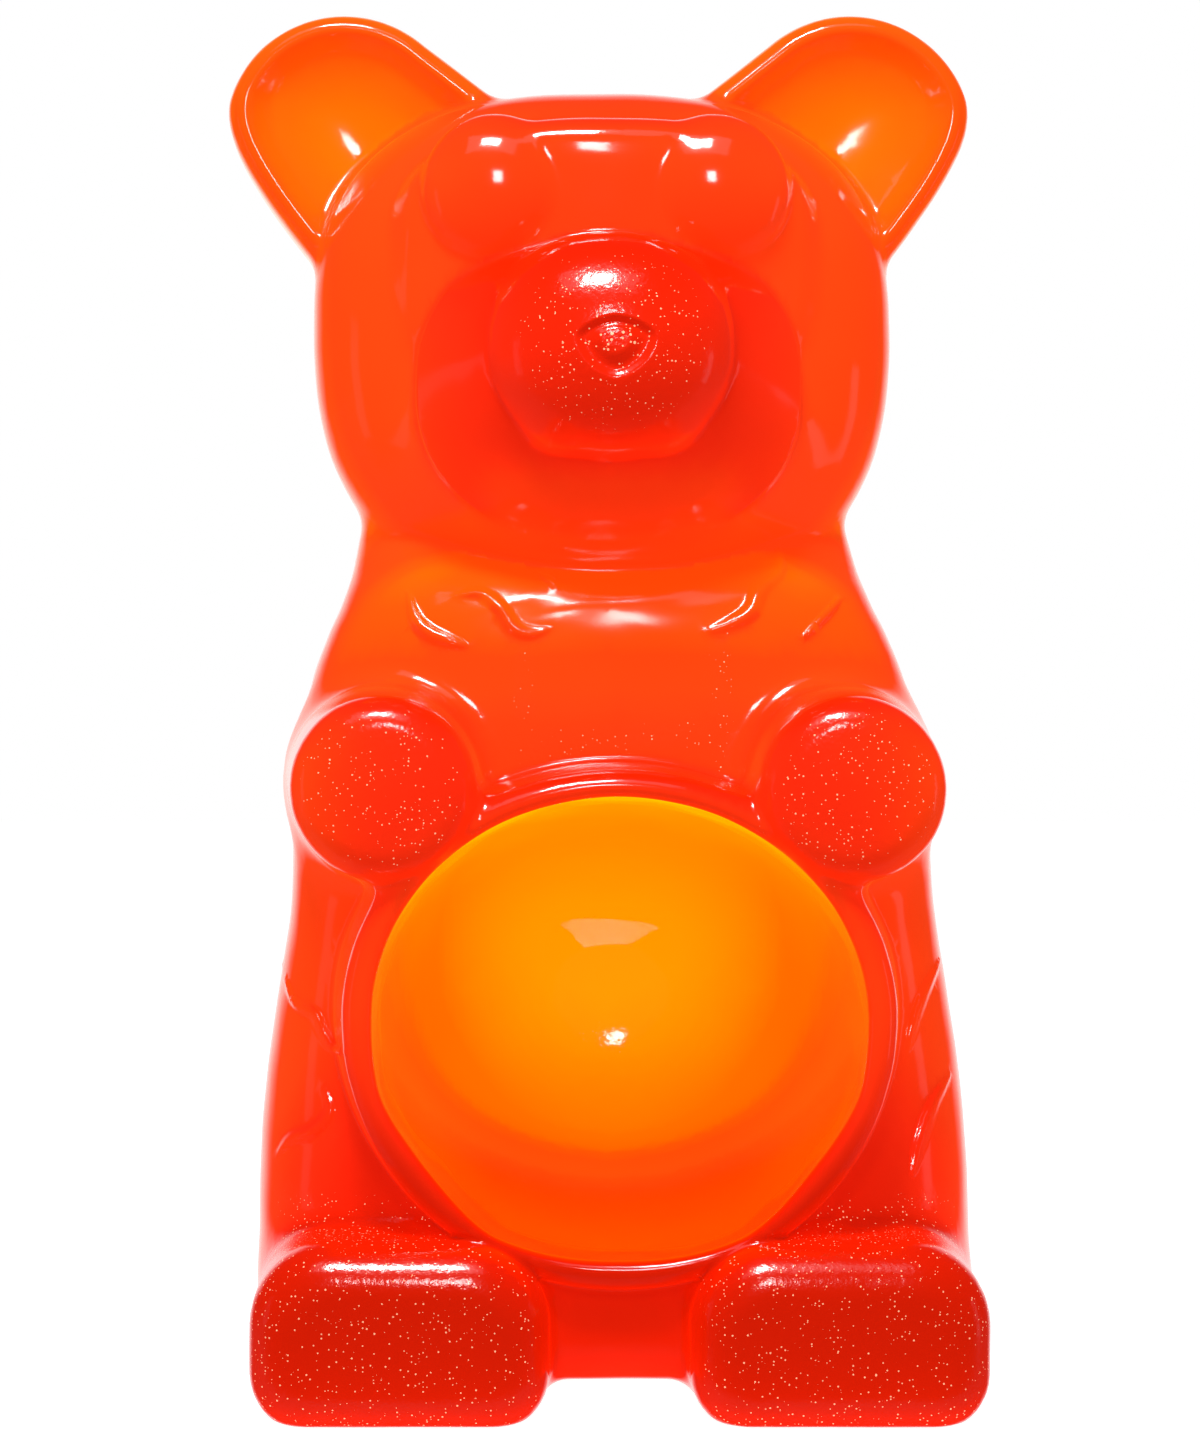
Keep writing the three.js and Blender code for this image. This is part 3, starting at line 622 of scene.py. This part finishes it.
# painted shade: the top of the head is darker
depth_light_and_shade += CROWN_SHADE_DEPTH * smooth_step(up, *CROWN) * (1 - at_ear)
at_side = smooth_step(SIDE_TURN - np.abs(normals[:, 1]), 0, SIDE_FADE) * elsewhere
depth_light_and_shade += at_side * np.maximum(SIDE_DEPTH - depth_light_and_shade, 0)
depth_light_and_shade = relaxed(depth_light_and_shade, triangles, RELAX_ROUNDS)

# The skin's finish. Bubbles that rose against the mould leave pores on the muzzle's, the
# paws' and the feet's faces, and in a few rows on the chest. Each pore also carries a painted
# glint, a pale speck in the colour, and more go on the nose pad and on the bowl's spot where a
# lamp's highlight falls. The throat is a little dull from handling, and the bowl is polished by
# the mould's plug.
PORES_TURN, PORES_FRONT = (0.55, 0.9), (68, 76)
MUZZLE_SIDE, MUZZLE_LOW, PAW_SIDE, PAW_LOW = 36, (282, 290), (38, 42), (155, 160)
FOOT_TOP, FOOT_FRONT, FOOT_SIDE = 68, (20, 40), (22, 26)
# the chest's two columns of bubbles, as side and lowest and highest place, and its row
COLUMNS, COLUMN_WIDTH = [(-28, 208, 230), (33, 187, 236)], 4
ROW_HEIGHT, ROW_SLOPE, ROW_WIDTH, ROW_MIDDLE, ROW_HALF = 203, 1 / 12, 7, 3, 34
CHEST_PORES_AND_GLINTS, CHEST_PORES_Y = 0.85, (-60, -20)
SPOT, SPOT_RADIUS, SPOT_FADE, SPOT_PORES_AND_GLINTS, SPOT_BEHIND = (-1, 104), 14, 8, 0.6, 20
NOSE_PORES_AND_GLINTS, NOSE_SPREAD = 0.8, (7, 6)
HAZE, HAZE_TURN, HAZE_SIDE, HAZE_UP, HAZE_TOP = 0.3, (0.5, 0.8), (35, 60), (228, 240), (252, 262)
POLISH = 0.32

facing = -normals[:, 1]
muzzle = smooth_step(MUZZLE_SIDE - side, 0, 4) * smooth_step(up, *MUZZLE_LOW)
paw = smooth_step(side, *PAW_SIDE) * smooth_step(up, *PAW_LOW)
face = smooth_step(facing, *PORES_TURN) * smooth_step(-y, *PORES_FRONT)
foot = smooth_step(FOOT_TOP - up, 0, 6) * smooth_step(-y, *FOOT_FRONT) * smooth_step(side, *FOOT_SIDE)
foot *= 1 - on_skin(barrel(*at, 0, 0, LIP_OUTER_EDGE))
pores_and_glints = np.maximum(face * np.maximum(muzzle, paw), foot)
# rows and columns of pores, with their painted glints, on the chest
rows = smooth_step(ROW_WIDTH - np.abs(up - ROW_HEIGHT - x * ROW_SLOPE), 0, 5)
rows *= smooth_step(ROW_HALF - np.abs(x - ROW_MIDDLE), 0, 4)
for middle, lowest, highest in COLUMNS:
    column = smooth_step(COLUMN_WIDTH - np.abs(x - middle), 0, 2)
    rows = np.maximum(rows, column * (up > lowest) * (up < highest))
pores_and_glints = np.maximum(pores_and_glints, CHEST_PORES_AND_GLINTS * rows * (y > CHEST_PORES_Y[0]) * (y < CHEST_PORES_Y[1]))
# pores and painted glints on the bowl's spot, where a lamp's highlight falls
spot = smooth_step(SPOT_RADIUS - np.hypot(x - SPOT[0], up - SPOT[1]), 0, SPOT_FADE)
pores_and_glints = np.maximum(pores_and_glints, SPOT_PORES_AND_GLINTS * in_bowl * (y > SPOT_BEHIND) * spot)
# more pores and painted glints on the nose pad
right, above = np.abs(x - NOSE_CENTRE[0]), up - NOSE_CENTRE[1]
on_nose = smooth_step(1 - np.hypot(right / NOSE_SPREAD[0], (above + 1) / NOSE_SPREAD[1]), 0, 0.3)
pores_and_glints += NOSE_PORES_AND_GLINTS * muzzle * on_nose
haze = smooth_step(facing, *HAZE_TURN) * (1 - smooth_step(side, *HAZE_SIDE))
haze *= HAZE * smooth_step(up, *HAZE_UP) * (1 - smooth_step(up, *HAZE_TOP)) * (y > CHEST_PORES_Y[0])
haze -= POLISH * in_bowl

# The mesh. The vertices are leaned and tipped as the bear stands in the photo, and then
# brought to the solid's own box, in metres.
share = smooth_step(vertices[:, 2], LEAN_FROM, LEAN_TO)
vertices[:, 0] += LEAN * (1 - share) - TURN * vertices[:, 1] * share
vertices[:, 0] -= TIP * np.maximum(vertices[:, 2] - TIP_FROM, 0)
own = np.array([vertices.min(0), vertices.max(0)])
room = np.array([list(v) for v in cad_box])
vertices = room[0] + (vertices - own[0]) * (room[1] - room[0]) / (own[1] - own[0])

mesh = bpy.data.meshes.new("gummy_bear")
mesh.vertices.add(len(vertices))
mesh.vertices.foreach_set("co", vertices.astype(np.float32).ravel())
mesh.loops.add(triangles.size)
mesh.loops.foreach_set("vertex_index", triangles.astype(np.int32).ravel())
mesh.polygons.add(len(triangles))
mesh.polygons.foreach_set("loop_start", np.arange(0, triangles.size, 3, dtype=np.int32))
mesh.update(calc_edges=True)
mesh.validate()
mesh.shade_smooth()
for name, data in [("jelly_depth_light_and_shade", depth_light_and_shade / FULL_DEPTH), ("pores_and_glints", pores_and_glints), ("haze", haze)]:
    mesh.attributes.new(name, "FLOAT", "POINT").data.foreach_set("value", data.astype(np.float32))
bear = bpy.data.objects.new("gummy_bear", mesh)
bpy.context.scene.collection.objects.link(bear)
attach(bear, "root")
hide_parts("bear")


def colour(code):
    """An sRGB hex colour turned to linear: below 0.04045 by 12.92, above as the 2.4th
    power of (c + 0.055) / 1.055."""
    parts = [int(code[n:n + 2], 16) / 255 for n in (1, 3, 5)]
    linear = [c / 12.92 if c <= 0.04045 else ((c + 0.055) / 1.055) ** 2.4 for c in parts]
    return tuple(linear) + (1.0,)


def add(tree, kind, settings=None, **links):
    """A node of that kind with its settings, and its inputs set or linked by name."""
    node = tree.nodes.new(kind)
    for name, value in (settings or {}).items():
        setattr(node, name, value)
    for name, value in links.items():
        number = name[1:]
        socket = node.inputs[int(number) if number.isdigit() else name.replace("_", " ")]
        if isinstance(value, bpy.types.NodeSocket):
            tree.links.new(value, socket)
        else:
            socket.default_value = value
    return node


# Gelatine jelly, moulded and set: clear and coloured right through, with a wet-looking gloss.
# Light that has passed through it comes back out all over, so most of its colour is given as
# emission, a painted glow, and the lamps add the rest. The pores carry painted glints, pale specks
# mixed into that colour, 1.1 mm apart, coarser than the real pores, which would be too fine to show.
JELLY_IOR, JELLY_SPECULAR, JELLY_GLOW = 1.5, 0.6, 0.68
ROUGHNESS, PORE_ROUGHNESS, HAZE_ROUGHNESS = 0.1, 0.05, 0.22
GLINT_SPACING, GLINT_LARGEST, GLINT_LEAST = 0.0011, 0.40, -0.14
# the colour of the painted glints on the pores
GLINT_COLOUR = "#ffb48a"
GRAIN, GRAIN_HEIGHT = 0.0016, 0.0001
# how many millimetres of jelly lie behind the skin, and its colour there
JELLY_BY_DEPTH = [
    (0, "#ffb800"), (12, "#ffa800"), (20, "#ff8c00"), (28, "#fe6c00"), (36, "#fe6200"),
    (44, "#fd4c06"), (60, "#fc400a"), (95, "#fd3f0c"), (110, "#fb3c0d"), (120, "#f8360b"),
    (135, "#f42e0a"), (150, "#ee280a"), (165, "#e22106"), (182, "#d61c02"), (200, "#c91800"),
]

jelly = bpy.data.materials.new("orange_gelatine_jelly")
jelly.use_nodes = True
tree = jelly.node_tree
tree.nodes.clear()
depth_light_and_shade_here = add(tree, "ShaderNodeAttribute", {"attribute_name": "jelly_depth_light_and_shade"})
pores_and_glints_here = add(tree, "ShaderNodeAttribute", {"attribute_name": "pores_and_glints"}).outputs["Fac"]
haze_here = add(tree, "ShaderNodeAttribute", {"attribute_name": "haze"}).outputs["Fac"]
place = add(tree, "ShaderNodeTexCoord").outputs["Object"]
ramp = add(tree, "ShaderNodeValToRGB", Fac=depth_light_and_shade_here.outputs["Fac"])
stops = ramp.color_ramp.elements
for n, (depth_there, code) in enumerate(JELLY_BY_DEPTH):
    stop = stops[0] if n == 0 else stops.new(depth_there / FULL_DEPTH)
    stop.color = colour(code)
stops.remove(stops[-1])
# each pore's painted glint is a pale spot in a cell of its own, of a size drawn for that cell
cells = add(tree, "ShaderNodeTexVoronoi", {"feature": "F1"}, Vector=place, Scale=1 / GLINT_SPACING)
lot = add(tree, "ShaderNodeSeparateColor", Color=cells.outputs["Color"])
size = add(tree, "ShaderNodeMath", {"operation": "MULTIPLY_ADD"},
           _0=lot.outputs["Red"], _1=GLINT_LARGEST, _2=GLINT_LEAST)
glint_size_here = add(tree, "ShaderNodeMath", {"operation": "MULTIPLY"}, _0=size.outputs[0], _1=pores_and_glints_here)
glint = add(tree, "ShaderNodeMath", {"operation": "LESS_THAN"},
           _0=cells.outputs["Distance"], _1=glint_size_here.outputs[0])
# painted glints: the pale glint colour replaces the jelly's colour inside each spot
jelly_and_glints = add(tree, "ShaderNodeMix", {"data_type": "RGBA"},
           _0=glint.outputs[0], _6=ramp.outputs["Color"], _7=colour(GLINT_COLOUR))
grain = add(tree, "ShaderNodeTexNoise", Vector=place, Scale=1 / GRAIN, Detail=2.0)
bump = add(tree, "ShaderNodeBump", Strength=pores_and_glints_here, Distance=GRAIN_HEIGHT,
           Height=grain.outputs["Fac"])
dull = add(tree, "ShaderNodeMath", {"operation": "MULTIPLY_ADD"},
           _0=pores_and_glints_here, _1=PORE_ROUGHNESS, _2=ROUGHNESS)
duller = add(tree, "ShaderNodeMath", {"operation": "MULTIPLY_ADD"},
             _0=haze_here, _1=HAZE_ROUGHNESS, _2=dull.outputs[0])
shader = add(tree, "ShaderNodeBsdfPrincipled", Base_Color=jelly_and_glints.outputs[2],
             Roughness=duller.outputs[0], IOR=JELLY_IOR, Specular_IOR_Level=JELLY_SPECULAR,
             Emission_Color=jelly_and_glints.outputs[2], Emission_Strength=JELLY_GLOW,
             Normal=bump.outputs["Normal"])
add(tree, "ShaderNodeOutputMaterial", Surface=shader.outputs["BSDF"])
mesh.materials.append(jelly)

# The studio: a pale floor, a white surround, and soft lights in front and at the sides.
# None of it is part of the bear. The floor starts just in front of the feet and runs back,
# and the surround is bright to the camera and, for the jelly's gloss, only behind the bear.
FLOOR_SIDE, FLOOR_FRONT, FLOOR_BACK = 4, -0.1, 6
floor_mesh = bpy.data.meshes.new("floor")
floor_mesh.from_pydata([
    (-FLOOR_SIDE, FLOOR_FRONT, 0), (FLOOR_SIDE, FLOOR_FRONT, 0),
    (FLOOR_SIDE, FLOOR_BACK, 0), (-FLOOR_SIDE, FLOOR_BACK, 0),
], [], [(0, 1, 2, 3)])
floor = bpy.data.objects.new("floor", floor_mesh)
bpy.context.scene.collection.objects.link(floor)
floor.visible_glossy = False
paper = bpy.data.materials.new("white_paper")
paper.use_nodes = True
matt = paper.node_tree.nodes["Principled BSDF"].inputs
matt["Base Color"].default_value = colour("#c8c8c8")
matt["Roughness"].default_value = 0.9
matt["Specular IOR Level"].default_value = 0.0
matt["Emission Color"].default_value = (1, 1, 1, 1)
matt["Emission Strength"].default_value = 1.0
floor_mesh.materials.append(paper)

# each lamp's place and size in metres, and its power in watts
LAMPS = {
    "key": ((-0.12, -0.55, 1.1), (0.8, 0.4), 0.8),
    "key_core": ((-0.115, -0.54, 1.08), (0.26, 0.2), 8),
    "flash": ((-0.02, -0.95, 0.63), (0.13, 0.18), 1.6),
    "right": ((1.3, -0.05, 0.1), (0.18, 0.5), 0.12),
    "left": ((-1.3, -0.15, 0.2), (0.18, 0.5), 0.06),
}
LAMP_TARGET = Vector((0, 0, 0.22))
for name, (place, size, power) in LAMPS.items():
    lamp = bpy.data.lights.new(name, "AREA")
    lamp.shape, lamp.size, lamp.size_y, lamp.energy = "RECTANGLE", size[0], size[1], power
    holder = bpy.data.objects.new(name, lamp)
    holder.location = place
    holder.rotation_euler = (LAMP_TARGET - Vector(place)).to_track_quat("-Z", "Y").to_euler()
    bpy.context.scene.collection.objects.link(holder)

BACKDROP_FROM, BACKDROP_TO, ROOM_LIGHT = 0.7, 0.9, 0.03
world = bpy.data.worlds.new("white_surround")
bpy.context.scene.world = world
world.use_nodes = True
tree = world.node_tree
tree.nodes.clear()
seen = add(tree, "ShaderNodeLightPath").outputs["Is Camera Ray"]
direction = add(tree, "ShaderNodeTexCoord").outputs["Generated"]
parts = add(tree, "ShaderNodeSeparateXYZ", Vector=direction)
behind = add(tree, "ShaderNodeMapRange", Value=parts.outputs["Y"],
             From_Min=BACKDROP_FROM, From_Max=BACKDROP_TO, To_Min=ROOM_LIGHT, To_Max=1.0)
strength = add(tree, "ShaderNodeMath", {"operation": "MAXIMUM"}, _0=behind.outputs["Result"], _1=seen)
surround = add(tree, "ShaderNodeBackground", Color=(1, 1, 1, 1), Strength=strength.outputs[0])
add(tree, "ShaderNodeOutputWorld", Surface=surround.outputs[0])

# The camera: level with the upper belly, 1.1 m in front of the bear's middle, and shifted so
# that the bear fills a picture 1200 pixels wide as it does in the photo.
SENSOR, PICTURE_WIDTH = 36, 1200
# the picture shows this many pixels to a metre at this distance from the camera
PIXELS_PER_M, SCALE_DISTANCE = 3165, 1.1
CAMERA_PLACE, CAMERA_SHIFT = (-0.0244, -1.1023, 0.2086), 0.025
scene = bpy.context.scene
scene.view_settings.view_transform = "Standard"
camera = bpy.data.cameras.new("camera")
camera.sensor_fit, camera.sensor_width = "HORIZONTAL", SENSOR
camera.lens = SENSOR * PIXELS_PER_M * SCALE_DISTANCE / PICTURE_WIDTH
camera.shift_x = CAMERA_SHIFT * PIXELS_PER_M / PICTURE_WIDTH
viewer = bpy.data.objects.new("camera", camera)
viewer.location = CAMERA_PLACE
viewer.rotation_euler = (np.pi / 2, 0, 0)
scene.collection.objects.link(viewer)
scene.camera = viewer
